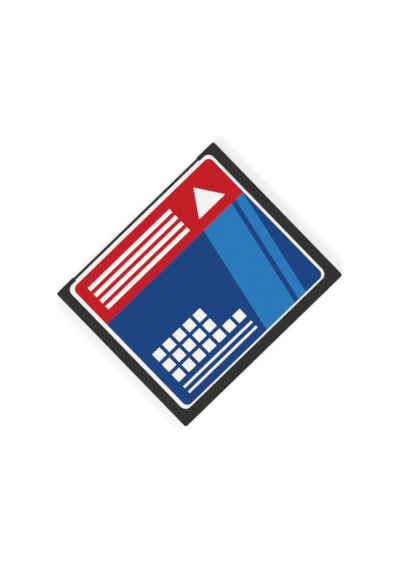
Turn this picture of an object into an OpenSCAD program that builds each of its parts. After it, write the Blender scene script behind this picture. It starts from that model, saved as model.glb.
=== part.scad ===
// Compact flash storage card, type I, as an assembly of its separate pieces, in millimetres.
// +Z is the label side, +Y the connector end, and X runs across the card.
// The origin is the middle of the footprint, on the plane that the card lies on.

/* [Card] */
// Length from the rear edge to the front of the corner blocks
card_length = 36.4; // [36:0.1:42]
// Thickness over the rims of the frame
card_height = 3.3; // [3.2:0.05:5]
// Radius of the four upright corners
corner_radius = 0.5; // [0.2:0.05:1]
// Chamfer along the outer edges of the frame
edge_chamfer = 0.12; // [0.05:0.01:0.2]

/* [Guide grooves] */
// Length of both grooves, from the front
groove_length = 25.78; // [20:0.01:28]
// Depth of both grooves
groove_depth = 0.57; // [0.4:0.01:0.7]
// Height of the groove on the -X side
wide_groove_height = 1.6; // [1.2:0.01:1.8]
// Height of the groove on the +X side
narrow_groove_height = 0.99; // [0.7:0.01:1.1]
// Flare of the groove mouths, above and below, at 45 degrees
groove_flare = 0.25; // [0.1:0.05:0.4]

/* [Frame] */
// Width of the bare rail left showing on each side
side_rail = 2.05; // [1.9:0.05:3]
// Width of the bare rail left showing at the rear
rear_rail = 2.2; // [1.9:0.05:3]
// Width of the bare strip left showing on each corner block
front_rail = 0.64; // [0.5:0.02:1]
// Width of the ledge that the covers are bonded to
ledge_width = 1.4; // [1:0.05:1.8]
// Width of each front corner block
corner_block_width = 4.6; // [4.2:0.05:5.6]
// Length of each shelf under the circuit board
shelf_length = 2; // [1:0.1:4]
// Thickness of the shelves
shelf_thickness = 0.8; // [0.4:0.05:1]
// How far the shelves reach under the circuit board
shelf_reach = 1; // [0.5:0.1:1.5]
// Gap between the connector and the front pair of shelves
shelf_setback = 3.9; // [3:0.1:6]

/* [Covers and label] */
// Thickness of the steel covers
cover_thickness = 0.15; // [0.1:0.01:0.2]
// Radius of the corners of covers and label
cover_radius = 1.35; // [1:0.05:2]
// How far the covers reach further forward between the corner blocks
cover_tab = 0.18; // [0.1:0.02:0.4]
// Gap round a cover in its recess
cover_gap = 0.05; // [0.03:0.01:0.15]
// Thickness of the bonding film
film_thickness = 0.05; // [0.03:0.01:0.08]
// Thickness of the printed label
label_thickness = 0.1; // [0.05:0.01:0.12]
// Depth of the label, and of the lower cover, below the rims of the frame
rim_height = 0.05; // [0.02:0.01:0.1]
// Thickness of the insulating sheets inside the covers
insulator_thickness = 0.05; // [0.03:0.01:0.05]
// How far the insulating sheets stop short of the edges of the circuit board
insulator_margin = 0.1; // [0:0.05:1]

/* [Label print] */
// White margin on the left of the print
print_left = 0.8; // [0.5:0.05:1.5]
// White margin on the right of the print
print_right = 0.55; // [0.5:0.05:1.5]
// White margin at the connector end of the print
print_front = 0.8; // [0.4:0.02:1.5]
// White margin at the rear of the print
print_rear = 0.36; // [0.3:0.02:1.5]
// Radius of the corners of the print
print_radius = 1.2; // [0.8:0.05:2]
// Depth of the red band at the connector end
band_depth = 9.7; // [8:0.1:12]
// Distance of the broad light blue stripe from the left of the print, at the rear
stripe_left = 21.7; // [21:0.1:24]
// Width of the broad stripe
broad_stripe = 7.7; // [4:0.1:8]
// Width of the narrow stripe on its right
narrow_stripe = 2; // [1:0.1:2.5]
// Gap between the two stripes
stripe_gap = 1; // [0.5:0.1:1.5]
// How far the stripes lean to the right on their way to the red band
stripe_lean = 4.7; // [0:0.1:4.7]
// Gap between the left of the print and the white marks
marks_left = 2.2; // [1:0.1:4]
// Width of the ruled lines
rule_width = 22.2; // [15:0.1:24]
// Thickness of the ruled lines
rule_height = 0.85; // [0.4:0.05:1]
// Distance between neighbouring ruled lines
rule_pitch = 1.65; // [1.2:0.05:2]
// Number of ruled lines on the red band
rule_count = 4; // [2:1:4]
// Width of the arrow that points to the connector end
arrow_width = 7; // [4:0.1:8]
// Height of that arrow
arrow_height = 5.2; // [3:0.1:6]
// Side of the white cells
cell_size = 2; // [1.5:0.05:2.2]
// Distance between neighbouring cells
cell_pitch = 2.75; // [2.5:0.05:3]
// Cells in the lowest row
long_row = 7; // [5:1:8]
// Cells in each row above it
short_row = 5; // [3:1:5]
// Rows of cells
cell_rows = 3; // [1:1:3]
// Height of the lowest cells above the rear of the print
cells_y = 4.75; // [4:0.05:6]
// Height of the thin ruled lines above the rear of the print
footer_y = 1.7; // [1:0.05:2]
// Width of the thin ruled lines
footer_width = 18.5; // [12:0.1:22]
// Thickness of the thin ruled lines
footer_height = 0.5; // [0.3:0.05:0.7]
// Distance between the two thin ruled lines
footer_pitch = 1.35; // [1:0.05:1.6]

/* [Connector] */
// Sockets in each of the two rows
socket_count = 25; // [15:1:25]
// Distance between neighbouring sockets
socket_pitch = 1.27; // [1.2:0.01:1.27]
// Distance between the two rows
row_spacing = 1.27; // [1.2:0.01:1.4]
// Width of the square pin holes
pin_hole = 0.56; // [0.5:0.02:0.7]
// Width of the flared mouths of the pin holes
mouth_width = 0.86; // [0.75:0.01:1]
// Depth of the flared mouths
mouth_depth = 0.22; // [0.1:0.02:0.4]
// Wall at each end of the connector, from the middle of the last socket
end_wall = 1.5; // [1:0.02:1.6]
// Thickness of the front wall that the pins pass
front_wall = 0.8; // [0.6:0.05:1.2]
// Width and height of the chambers that hold the contacts
chamber_size = 0.8; // [0.74:0.02:0.9]
// Length of the connector body, front to back
housing_length = 5.15; // [4.8:0.05:5.6]
// Distance of the connector face behind the corner blocks
face_setback = 0.15; // [0.05:0.05:0.4]
// Gap between the connector body and each corner block
housing_gap = 0.06; // [0.04:0.02:0.3]
// How far the ears reach into the corner blocks
ear_reach = 0.9; // [0.5:0.05:1.2]
// Length of the ears, front to back
ear_length = 2; // [1:0.1:3]
// Distance of the ears ahead of the rear of the connector
ear_inset = 1.1; // [0.6:0.1:1.6]
// Thickness of the ears
ear_height = 1.4; // [1:0.1:1.8]
// Gap round the ears in their pockets
ear_gap = 0.05; // [0.03:0.01:0.15]

/* [Contacts] */
// Thickness of the sheet that the contacts are cut from
contact_sheet = 0.3; // [0.2:0.02:0.4]
// Thickness of the two spring arms
arm_thickness = 0.13; // [0.1:0.01:0.15]
// Opening between the spring arms where they grip the pin
arm_opening = 0.28; // [0.2:0.02:0.36]
// Distance of the grip behind the front wall of the connector
grip_setback = 0.9; // [0.6:0.05:1.2]
// Distance of the arm tips behind the front wall of the connector
tip_setback = 0.3; // [0.1:0.05:0.5]
// How far each arm tip flares out beyond the grip
tip_flare = 0.08; // [0.02:0.01:0.1]
// Length over which the root narrows to the arms
root_taper = 0.3; // [0.1:0.05:0.5]
// Length of the solid root that is pressed into the chamber
root_length = 0.8; // [0.5:0.05:1]
// Depth of the root inside the rear of the chamber
root_inset = 0.2; // [0.1:0.05:0.4]
// Thickness of the solder tails
tail_thickness = 0.15; // [0.1:0.01:0.18]
// Length of the tail that lies on the circuit board
tail_length = 1.5; // [1:0.1:2]

/* [Circuit board] */
// Thickness of the circuit board
board_thickness = 0.4; // [0.3:0.02:0.42]
// Gap between the circuit board and the walls of the frame
board_gap = 0.25; // [0.15:0.05:0.5]
// Gap between the circuit board and the rear of the connector
board_setback = 0.45; // [0.3:0.05:0.6]

/* [Memory chips] */
// Gap from the tips of the leads to the edge of the board, and to the row of small parts
memory_end_gap = 1.5; // [1:0.1:2.5]
// Gap from each memory chip to the side edge of the board
memory_side_gap = 4.7; // [3.5:0.1:6]
// Gap between the two memory chips
memory_middle_gap = 2; // [1:0.1:4]
// Leads on each end of a memory chip
memory_leads = 24; // [12:1:24]
// Distance from the outer leads' middles to the corners of the memory chip
memory_lead_margin = 0.25; // [0.2:0.05:0.6]
// Reach of the memory chip leads
memory_lead_reach = 0.8; // [0.7:0.05:0.9]

/* [Controller chip] */
// Side of the square controller body
controller_size = 14; // [12:0.1:14]
// Gap from the tips of the controller leads to the left edge of the board
controller_side_gap = 3.2; // [2:0.1:4]
// Leads on each side of the controller
controller_lead_count = 25; // [16:1:25]
// Distance from the outer leads' middles to the corners of the controller
controller_lead_margin = 1; // [0.8:0.05:1.4]
// Reach of the controller leads
controller_lead_reach = 1; // [0.8:0.05:1.1]

/* [Chip packages] */
// Air between the memory chips and the insulating sheet above them
chip_clearance = 0.05; // [0.03:0.01:0.2]
// Air under the chip bodies
chip_standoff = 0.05; // [0.03:0.01:0.06]
// How much narrower a chip body is at its faces than at its leads
chip_draft = 0.12; // [0.05:0.01:0.2]
// Width of a lead
lead_width = 0.22; // [0.15:0.01:0.3]
// Thickness of a lead
lead_thickness = 0.12; // [0.1:0.01:0.16]
// Length of a lead's foot on the circuit board
lead_foot = 0.45; // [0.35:0.05:0.5]

/* [Small parts] */
// Length of the voltage detector body
detector_length = 2.9; // [2.7:0.05:3.1]
// Width of the voltage detector body
detector_width = 1.3; // [1.2:0.05:1.5]
// Distance between neighbouring leads of the voltage detector
detector_pitch = 0.95; // [0.85:0.01:1]
// Width of the leads of the voltage detector
detector_lead_width = 0.4; // [0.3:0.05:0.5]
// Reach of the leads of the voltage detector
detector_lead_reach = 0.65; // [0.6:0.05:0.8]
// Length of the capacitors and of the resistors
passive_length = 1.6; // [1.4:0.05:1.8]
// Width of the capacitors and of the resistors
passive_width = 0.8; // [0.6:0.05:1]
// Height of the capacitors
capacitor_height = 0.8; // [0.6:0.05:0.9]
// Height of the resistors and of the resistor arrays
resistor_height = 0.45; // [0.35:0.05:0.6]
// Length of the metal ends of capacitors, resistors and arrays
end_length = 0.3; // [0.2:0.02:0.35]
// Air under the ceramic bodies between their metal ends
body_lift = 0.03; // [0.02:0.01:0.05]
// Length of the resistor arrays
array_length = 3.2; // [3:0.05:3.4]
// Width of the resistor arrays over their metal ends
array_width = 1.6; // [1.4:0.05:1.8]
// Distance between the metal ends along a resistor array
array_pitch = 0.8; // [0.75:0.01:0.8]
// Width of a metal end on a resistor array
array_end_width = 0.4; // [0.3:0.02:0.5]
// Gap between the contact tails and the nearest small parts
tail_clearance = 0.8; // [0.5:0.1:1.5]
// Distance from the side edges of the board to the middle of the outer part of a row
row_margin = 3.2; // [2.5:0.1:5]
// Distance between neighbouring small parts beside the controller
part_pitch = 3; // [2.8:0.1:3.4]

/* [Hidden] */

$fn = 48;
// Overshoot of cutting shapes past the faces they open
over = 1;

// The connector sets the opening between the corner blocks, and so the width of the card
housing_x = (socket_count - 1) * socket_pitch / 2 + end_wall;
opening_x = housing_x + housing_gap;
side_x = opening_x + corner_block_width;
card_width = 2 * side_x;

// Plan of the card
front_y = card_length / 2;
rear_y = -card_length / 2;

// Plan of the covers, which the label and the films share
cover_width = card_width - 2 * (side_rail + cover_gap);
cover_front_y = front_y - front_rail - cover_gap;
cover_rear_y = rear_y + rear_rail + cover_gap;

// Heights, from the lower cover up to the label
middle_z = card_height / 2;
lower_face_z = rim_height;
lower_inner_z = lower_face_z + cover_thickness;
lower_ledge_z = lower_inner_z + film_thickness;
label_face_z = card_height - rim_height;
upper_face_z = label_face_z - label_thickness;
upper_inner_z = upper_face_z - cover_thickness;
upper_ledge_z = upper_inner_z - film_thickness;
board_z = middle_z - board_thickness / 2;
board_top_z = board_z + board_thickness;

// The connector's face, rear and ears. The corner blocks end flush with its rear.
face_y = front_y - face_setback;
housing_rear_y = face_y - housing_length;
flange_rear_y = cover_front_y + cover_gap;
ear_x = opening_x + ear_reach;
ear_y = housing_rear_y + ear_inset;
ear_z = middle_z - ear_height / 2;
chamber_front_y = face_y - front_wall;

// The cavity inside the frame, behind the connector
cavity_x = side_x - side_rail - ledge_width;
cavity_rear_y = rear_y + rear_rail + ledge_width;
cavity_length = housing_rear_y - cavity_rear_y;

// The circuit board and the row of small parts behind the contact tails
board_x = cavity_x - board_gap;
board_rear_y = cavity_rear_y + board_gap;
board_front_y = housing_rear_y - board_setback;
tail_y = board_front_y - tail_length;
small_parts_y = tail_y - tail_clearance - array_width / 2;
chips_front_y = small_parts_y - array_width / 2;
chips_y = (board_rear_y + chips_front_y) / 2;

// The chips, between the small parts and the edges of the board
chip_height = upper_inner_z - insulator_thickness - chip_clearance - board_top_z - chip_standoff;
memory_length = chips_front_y - board_rear_y - 2 * (memory_end_gap + memory_lead_reach);
memory_width = board_x - memory_side_gap - memory_middle_gap / 2;
memory_x = (memory_width + memory_middle_gap) / 2;
controller_x = -board_x + controller_side_gap + controller_lead_reach + controller_size / 2;
controller_right_x = controller_x + controller_size / 2 + controller_lead_reach;
controller_place = [controller_x, chips_y];

// The print on the label
print_left_x = -cover_width / 2 + print_left;
print_right_x = cover_width / 2 - print_right;
print_front_y = cover_front_y - print_front;
print_rear_y = cover_rear_y + print_rear;
band_y = print_front_y - band_depth;

// Place i of n in the row of small parts behind the contact tails
function row_place(i, n) = [(2 * i / (n - 1) - 1) * (board_x - row_margin), small_parts_y];

// A place beside the controller, counted in part pitches from the middle of the free board
function side_place(column, row) = [
    (controller_right_x + board_x) / 2 + column * part_pitch,
    chips_y + row * part_pitch,
];

upper_capacitors = [for (i = [0, 1, 4, 5]) row_place(i, 6)];
upper_arrays = [for (i = [2, 3]) row_place(i, 6)];
lower_arrays = [for (i = [0 : 4]) row_place(i, 5)];
lower_capacitors = [side_place(-1, -2), side_place(0, -2), side_place(1, -2), side_place(0, -1)];
lower_resistors = [side_place(-1, 0), side_place(0, 0), side_place(1, 0), side_place(1, 1.5)];
detector_place = side_place(-0.6, 1.5);

function socket_x(i) = (i - (socket_count - 1) / 2) * socket_pitch;

// A rectangle with rounded corners, from one corner to the opposite one
module rounded_field(x0, y0, x1, y1, r) {
    difference() {
        translate([x0, y0])
            square([x1 - x0, y1 - y0]);
        for (corner = [[x0, y0, 0], [x1, y0, 90], [x1, y1, 180], [x0, y1, 270]])
            translate([corner[0], corner[1]])
                rotate(corner[2])
                    difference() {
                        translate([-over, -over])
                            square(r + over);
                        translate([r, r])
                            circle(r);
                    }
    }
}

// A rectangle with its four corners cut at 45 degrees
module chamfered_field(w, h, c) {
    polygon([
        [-w / 2 + c, 0], [w / 2 - c, 0], [w / 2, c], [w / 2, h - c],
        [w / 2 - c, h], [-w / 2 + c, h], [-w / 2, h - c], [-w / 2, c],
    ]);
}

// The outline that the covers, the films and the label share, with a tab between the corner blocks
module cover_outline(grow = 0) {
    shoulder_y = cover_front_y - cover_tab;
    tab_x = opening_x - cover_gap;
    rounded_field(
        -cover_width / 2 - grow, cover_rear_y - grow,
        cover_width / 2 + grow, shoulder_y + grow,
        cover_radius + grow);
    translate([-tab_x - grow, shoulder_y - cover_radius])
        square([2 * (tab_x + grow), cover_radius + cover_tab + grow]);
}

// The outline of the cavity behind the connector
module cavity_outline() {
    translate([-cavity_x, cavity_rear_y])
        square([2 * cavity_x, cavity_length]);
}

// The outline of the circuit board, or one that stops short of its edges
module board_outline(margin = 0) {
    translate([-board_x + margin, board_rear_y + margin])
        square([2 * (board_x - margin), board_front_y - board_rear_y - 2 * margin]);
}

// A plate of a flat outline, between two heights
module plate(z0, z1) {
    translate([0, 0, z0])
        linear_extrude(z1 - z0)
            children();
}

// The outer block of the frame: round upright corners and chamfered edges
module frame_block() {
    intersection() {
        plate(0, card_height)
            rounded_field(-side_x, rear_y, side_x, front_y, corner_radius);
        rotate([90, 0, 0])
            linear_extrude(card_length + 2 * over, center = true)
                chamfered_field(card_width, card_height, edge_chamfer);
        rotate([90, 0, 90])
            linear_extrude(card_width + 2 * over, center = true)
                chamfered_field(card_length, card_height, edge_chamfer);
    }
}

// One guide groove with a flared mouth, cut inwards from the side at x = 0 towards +X
module guide_groove(height) {
    half = height / 2;
    translate([-over, 0, middle_z])
        rotate([90, 0, 90])
            linear_extrude(groove_depth + over)
                polygon([
                    [front_y - groove_length, -half], [front_y - groove_flare, -half],
                    [front_y + over, -half - groove_flare - over],
                    [front_y + over, half + groove_flare + over],
                    [front_y - groove_flare, half], [front_y - groove_length, half],
                ]);
}

// The space inside the frame, open at the front between the corner blocks
module frame_cavity() {
    plate(-over, card_height + over) {
        cavity_outline();
        translate([-opening_x, housing_rear_y - over])
            square([2 * opening_x, housing_length + face_setback + 2 * over]);
    }
}

// The pockets in the corner blocks that take the ears of the connector, open upwards
module ear_pockets() {
    pocket_x = ear_x + ear_gap;
    translate([-pocket_x, ear_y - ear_gap, ear_z])
        cube([2 * pocket_x, ear_length + 2 * ear_gap, card_height]);
}

// The shelves on the side walls that the circuit board lies on
module board_shelves() {
    reach = shelf_reach + board_gap;
    for (side = [-1, 1])
        for (y = [cavity_rear_y, housing_rear_y - shelf_setback - shelf_length])
            translate([side * (cavity_x - reach / 2), y + shelf_length / 2, board_z - shelf_thickness / 2])
                cube([reach, shelf_length, shelf_thickness], center = true);
}

// The moulded frame: rails, recesses for both covers, guide grooves and corner blocks
module frame() {
    color("#2e2d2c") {
        difference() {
            frame_block();
            plate(upper_ledge_z, card_height + over)
                cover_outline(cover_gap);
            plate(-over, lower_ledge_z)
                cover_outline(cover_gap);
            frame_cavity();
            ear_pockets();
            translate([-side_x, 0, 0])
                guide_groove(wide_groove_height);
            translate([side_x, 0, 0])
                mirror([1, 0, 0])
                    guide_groove(narrow_groove_height);
        }
        board_shelves();
    }
}

// The steel sheets that close the card above and below
module top_cover() {
    color("#b9bcc0")
        plate(upper_inner_z, upper_face_z)
            cover_outline();
}

module bottom_cover() {
    color("#b9bcc0")
        plate(lower_face_z, lower_inner_z)
            cover_outline();
}

// A ring of heat-activated film between a cover, the ledges and the connector
module bonding_film(z) {
    color("#c9b37a")
        plate(z, z + film_thickness)
            difference() {
                cover_outline();
                cavity_outline();
            }
}

module top_bonding_film() {
    bonding_film(upper_ledge_z);
}

module bottom_bonding_film() {
    bonding_film(lower_inner_z);
}

// A sheet on the inside of a cover that keeps it off the chips
module insulator(z) {
    color("#d8a53a")
        plate(z, z + insulator_thickness)
            board_outline(insulator_margin);
}

module top_insulator() {
    insulator(upper_inner_z - insulator_thickness);
}

module bottom_insulator() {
    insulator(lower_inner_z);
}

// The whole print inside the white margin
module print_outline() {
    rounded_field(print_left_x, print_rear_y, print_right_x, print_front_y, print_radius);
}

// A stack of equal white lines, ruled from the left
module ruled_lines(y, width, height, pitch, count) {
    for (i = [0 : count - 1])
        translate([print_left_x + marks_left, y + i * pitch])
            square([width, height]);
}

// The white marks: ruled lines and an arrow on the band, cells and thin lines below
module print_marks() {
    rules_y = band_y + (band_depth - (rule_count - 1) * rule_pitch - rule_height) / 2;
    arrow_x = (print_left_x + marks_left + rule_width + print_right_x) / 2;
    arrow_y = band_y + (band_depth - arrow_height) / 2;
    ruled_lines(rules_y, rule_width, rule_height, rule_pitch, rule_count);
    polygon([
        [arrow_x - arrow_width / 2, arrow_y], [arrow_x + arrow_width / 2, arrow_y],
        [arrow_x, arrow_y + arrow_height],
    ]);
    for (row = [0 : cell_rows - 1])
        for (i = [0 : (row == 0 ? long_row : short_row) - 1])
            translate([print_left_x + marks_left + i * cell_pitch, print_rear_y + cells_y + row * cell_pitch])
                square(cell_size);
    ruled_lines(print_rear_y + footer_y, footer_width, footer_height, footer_pitch, 2);
}

// The red band at the connector end
module print_band() {
    translate([print_left_x, band_y])
        square([print_right_x - print_left_x, band_depth]);
}

// The two light blue stripes, which lean across the blue field from the rear of the print to the band
module print_stripes() {
    broad_x = print_left_x + stripe_left;
    narrow_x = broad_x + broad_stripe + stripe_gap;
    for (stripe = [[broad_x, broad_stripe], [narrow_x, narrow_stripe]])
        polygon([
            [stripe[0], print_rear_y], [stripe[0] + stripe[1], print_rear_y],
            [stripe[0] + stripe[1] + stripe_lean, band_y], [stripe[0] + stripe_lean, band_y],
        ]);
}

// One ink, inside the print and clear of the white marks
module print_ink() {
    plate(upper_face_z, label_face_z)
        difference() {
            intersection() {
                print_outline();
                children();
            }
            print_marks();
        }
}

// One printed film: a white margin and marks, a red band, and light blue stripes on a dark blue field
module front_label() {
    color("#f4f4f2")
        plate(upper_face_z, label_face_z) {
            difference() {
                cover_outline();
                print_outline();
            }
            print_marks();
        }
    color("#c41c28")
        print_ink()
            print_band();
    color("#2879ba")
        print_ink()
            print_stripes();
    color("#174481")
        print_ink()
            difference() {
                print_outline();
                print_band();
                print_stripes();
            }
}

// One socket through the connector: a flared mouth, a pin hole and a contact chamber
module socket() {
    intersection() {
        linear_extrude(mouth_width, center = true)
            mouth_profile();
        rotate([0, 90, 0])
            linear_extrude(mouth_width, center = true)
                mouth_profile();
    }
    translate([-pin_hole / 2, -front_wall - over, -pin_hole / 2])
        cube([pin_hole, front_wall + over, pin_hole]);
    translate([-chamber_size / 2, -housing_length - over, -chamber_size / 2])
        cube([chamber_size, housing_length + over - front_wall, chamber_size]);
}

// The section of a flared mouth, whose wide end is at y = 0
module mouth_profile() {
    half = mouth_width / 2;
    polygon([
        [-pin_hole / 2, -mouth_depth], [pin_hole / 2, -mouth_depth],
        [half, 0], [half, over], [-half, over], [-half, 0],
    ]);
}

// The moulded body of the connector, with a flange in front of the covers and an ear at each end
module connector_housing() {
    color("#232323")
        difference() {
            union() {
                translate([-housing_x, housing_rear_y, lower_ledge_z])
                    cube([2 * housing_x, housing_length, upper_ledge_z - lower_ledge_z]);
                translate([-housing_x, flange_rear_y, lower_face_z])
                    cube([2 * housing_x, face_y - flange_rear_y, label_face_z - lower_face_z]);
                translate([-ear_x, ear_y, ear_z])
                    cube([2 * ear_x, ear_length, ear_height]);
            }
            for (i = [0 : socket_count - 1])
                for (row = [-1, 1])
                    translate([socket_x(i), face_y, middle_z + row * row_spacing / 2])
                        socket();
        }
}

// The side view of an upper contact about the axis of its pin: tail, root and two spring arms
module contact_profile() {
    root_y0 = housing_rear_y + root_inset;
    root_y1 = root_y0 + root_length;
    arms_y = root_y1 + root_taper;
    grip_y = chamber_front_y - grip_setback;
    tip_y = chamber_front_y - tip_setback;
    half = chamber_size / 2;
    grip = arm_opening / 2;
    tip = grip + tip_flare;
    board_drop = board_top_z - middle_z - row_spacing / 2;
    polygon([
        [tail_y, board_drop], [board_front_y, board_drop], [housing_rear_y, -half], [root_y1, -half],
        [grip_y, -grip - arm_thickness], [tip_y, -tip - arm_thickness], [tip_y, -tip],
        [grip_y, -grip], [arms_y, -half + arm_thickness], [arms_y, half - arm_thickness],
        [grip_y, grip], [tip_y, tip], [tip_y, tip + arm_thickness], [grip_y, grip + arm_thickness],
        [root_y1, half],
        [root_y0, half], [root_y0, -half + tail_thickness], [housing_rear_y, -half + tail_thickness],
        [board_front_y, board_drop + tail_thickness], [tail_y, board_drop + tail_thickness],
    ]);
}

// One upper contact, at the height of its row
module contact() {
    translate([-contact_sheet / 2, 0, middle_z + row_spacing / 2])
        rotate([90, 0, 90])
            linear_extrude(contact_sheet)
                contact_profile();
}

module upper_contacts() {
    color("#d9b25a")
        for (i = [0 : socket_count - 1])
            translate([socket_x(i), 0, 0])
                contact();
}

module lower_contacts() {
    color("#d9b25a")
        for (i = [0 : socket_count - 1])
            translate([socket_x(i), 0, 2 * middle_z])
                mirror([0, 0, 1])
                    contact();
}

module circuit_board() {
    color("#1f6b45")
        plate(board_z, board_top_z)
            board_outline();
}

// Puts parts on the upper face of the circuit board
module on_board(place) {
    translate([place[0], place[1], board_top_z])
        children();
}

// Puts parts on the lower face of the circuit board, upside down
module under_board(place) {
    translate([place[0], place[1], board_z])
        mirror([0, 0, 1])
            children();
}

// The section of a moulded chip body, widest at the height where its leads come out
module chip_section(width) {
    half = width / 2;
    lead_z = chip_standoff + chip_height / 2;
    land = lead_thickness / 2;
    top = chip_standoff + chip_height;
    polygon([
        [-half + chip_draft, chip_standoff], [half - chip_draft, chip_standoff],
        [half, lead_z - land], [half, lead_z + land], [half - chip_draft, top],
        [-half + chip_draft, top], [-half, lead_z + land], [-half, lead_z - land],
    ]);
}

// A moulded chip body, standing a little off the board at z = 0
module chip_body(length, width) {
    intersection() {
        rotate([90, 0, 0])
            linear_extrude(width, center = true)
                chip_section(length);
        rotate([90, 0, 90])
            linear_extrude(length, center = true)
                chip_section(width);
    }
}

// A row of gull-wing leads on the +X side of a body, with their feet on the board at z = 0
module lead_row(count, pitch, body_half, reach, width) {
    exit_z = chip_standoff + chip_height / 2;
    half = lead_thickness / 2;
    heel = reach - lead_foot;
    for (i = [0 : count - 1])
        translate([body_half, (i - (count - 1) / 2) * pitch + width / 2, 0])
            rotate([90, 0, 0])
                linear_extrude(width)
                    polygon([
                        [0, exit_z - half], [heel / 2, exit_z - half], [heel, 0], [reach, 0],
                        [reach, lead_thickness], [heel + half, lead_thickness],
                        [heel / 2 + half, exit_z + half], [0, exit_z + half],
                    ]);
}

function memory_place(side) = [side * memory_x, chips_y];

module memory_chip(side) {
    color("#2a2b2d")
        on_board(memory_place(side))
            chip_body(memory_width, memory_length);
}

module memory_leads_of(side) {
    pitch = (memory_width - 2 * memory_lead_margin) / (memory_leads - 1);
    color("#c4c6c8")
        on_board(memory_place(side))
            for (turn = [90, 270])
                rotate([0, 0, turn])
                    lead_row(memory_leads, pitch, memory_length / 2, memory_lead_reach, lead_width);
}

module left_memory_chip() {
    memory_chip(-1);
}

module left_memory_leads() {
    memory_leads_of(-1);
}

module right_memory_chip() {
    memory_chip(1);
}

module right_memory_leads() {
    memory_leads_of(1);
}

module controller_chip() {
    color("#2a2b2d")
        under_board(controller_place)
            chip_body(controller_size, controller_size);
}

module controller_leads() {
    pitch = (controller_size - 2 * controller_lead_margin) / (controller_lead_count - 1);
    color("#c4c6c8")
        under_board(controller_place)
            for (turn = [0 : 90 : 270])
                rotate([0, 0, turn])
                    lead_row(controller_lead_count, pitch, controller_size / 2,
                        controller_lead_reach, lead_width);
}

module voltage_detector() {
    color("#2a2b2d")
        under_board(detector_place)
            chip_body(detector_length, detector_width);
}

// Two leads on one side of the voltage detector and one on the other
module voltage_detector_leads() {
    color("#c4c6c8")
        under_board(detector_place) {
            rotate([0, 0, 90])
                lead_row(1, detector_pitch, detector_width / 2, detector_lead_reach, detector_lead_width);
            rotate([0, 0, 270])
                lead_row(2, 2 * detector_pitch, detector_width / 2, detector_lead_reach, detector_lead_width);
        }
}

// The ceramic middle of a capacitor or resistor, lifted a little between its metal ends
module passive_body(height) {
    translate([-passive_length / 2 + end_length, -passive_width / 2 + body_lift, body_lift])
        cube([passive_length - 2 * end_length, passive_width - 2 * body_lift, height - 2 * body_lift]);
}

module passive_ends(height) {
    for (x = [-passive_length / 2, passive_length / 2 - end_length])
        translate([x, -passive_width / 2, 0])
            cube([end_length, passive_width, height]);
}

module capacitor_bodies() {
    color("#b79a72") {
        for (place = upper_capacitors)
            on_board(place)
                passive_body(capacitor_height);
        for (place = lower_capacitors)
            under_board(place)
                passive_body(capacitor_height);
    }
}

module capacitor_ends() {
    color("#c4c6c8") {
        for (place = upper_capacitors)
            on_board(place)
                passive_ends(capacitor_height);
        for (place = lower_capacitors)
            under_board(place)
                passive_ends(capacitor_height);
    }
}

module resistor_bodies() {
    color("#1c1c1e")
        for (place = lower_resistors)
            under_board(place)
                passive_body(resistor_height);
}

module resistor_ends() {
    color("#c4c6c8")
        for (place = lower_resistors)
            under_board(place)
                passive_ends(resistor_height);
}

// The ceramic strip of a resistor array, with four metal ends along each side
module array_body() {
    width = array_width - 2 * end_length;
    translate([-array_length / 2, -width / 2, body_lift])
        cube([array_length, width, resistor_height - 2 * body_lift]);
}

module array_ends() {
    for (i = [0 : 3])
        for (side = [-1, 1])
            translate([
                (i - 1.5) * array_pitch - array_end_width / 2,
                side * (array_width - end_length) / 2 - end_length / 2,
                0,
            ])
                cube([array_end_width, end_length, resistor_height]);
}

module resistor_array_bodies() {
    color("#1c1c1e") {
        for (place = upper_arrays)
            on_board(place)
                array_body();
        for (place = lower_arrays)
            under_board(place)
                array_body();
    }
}

module resistor_array_ends() {
    color("#c4c6c8") {
        for (place = upper_arrays)
            on_board(place)
                array_ends();
        for (place = lower_arrays)
            under_board(place)
                array_ends();
    }
}

frame();
top_cover();
bottom_cover();
top_bonding_film();
bottom_bonding_film();
top_insulator();
bottom_insulator();
front_label();
connector_housing();
upper_contacts();
lower_contacts();
circuit_board();
left_memory_chip();
left_memory_leads();
right_memory_chip();
right_memory_leads();
controller_chip();
controller_leads();
voltage_detector();
voltage_detector_leads();
capacitor_bodies();
capacitor_ends();
resistor_bodies();
resistor_ends();
resistor_array_bodies();
resistor_array_ends();
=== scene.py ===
# %% [markdown]
# # A compact flash card
# This file dresses a small memory card that is already modelled, part by part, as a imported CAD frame. A
# moulded black ring carries a printed label over a steel sheet on top, a bare steel sheet underneath,
# and a block of fifty sockets along the front edge. The board and its chips are closed in between.
# Every cell below makes one piece or one finish, in the order in which a maker would think about them.
# All lengths are in metres, as in Blender, so MM turns a size in millimetres into one.

import math

import bmesh
import bpy
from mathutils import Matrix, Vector
from mathutils.geometry import delaunay_2d_cdt


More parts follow.
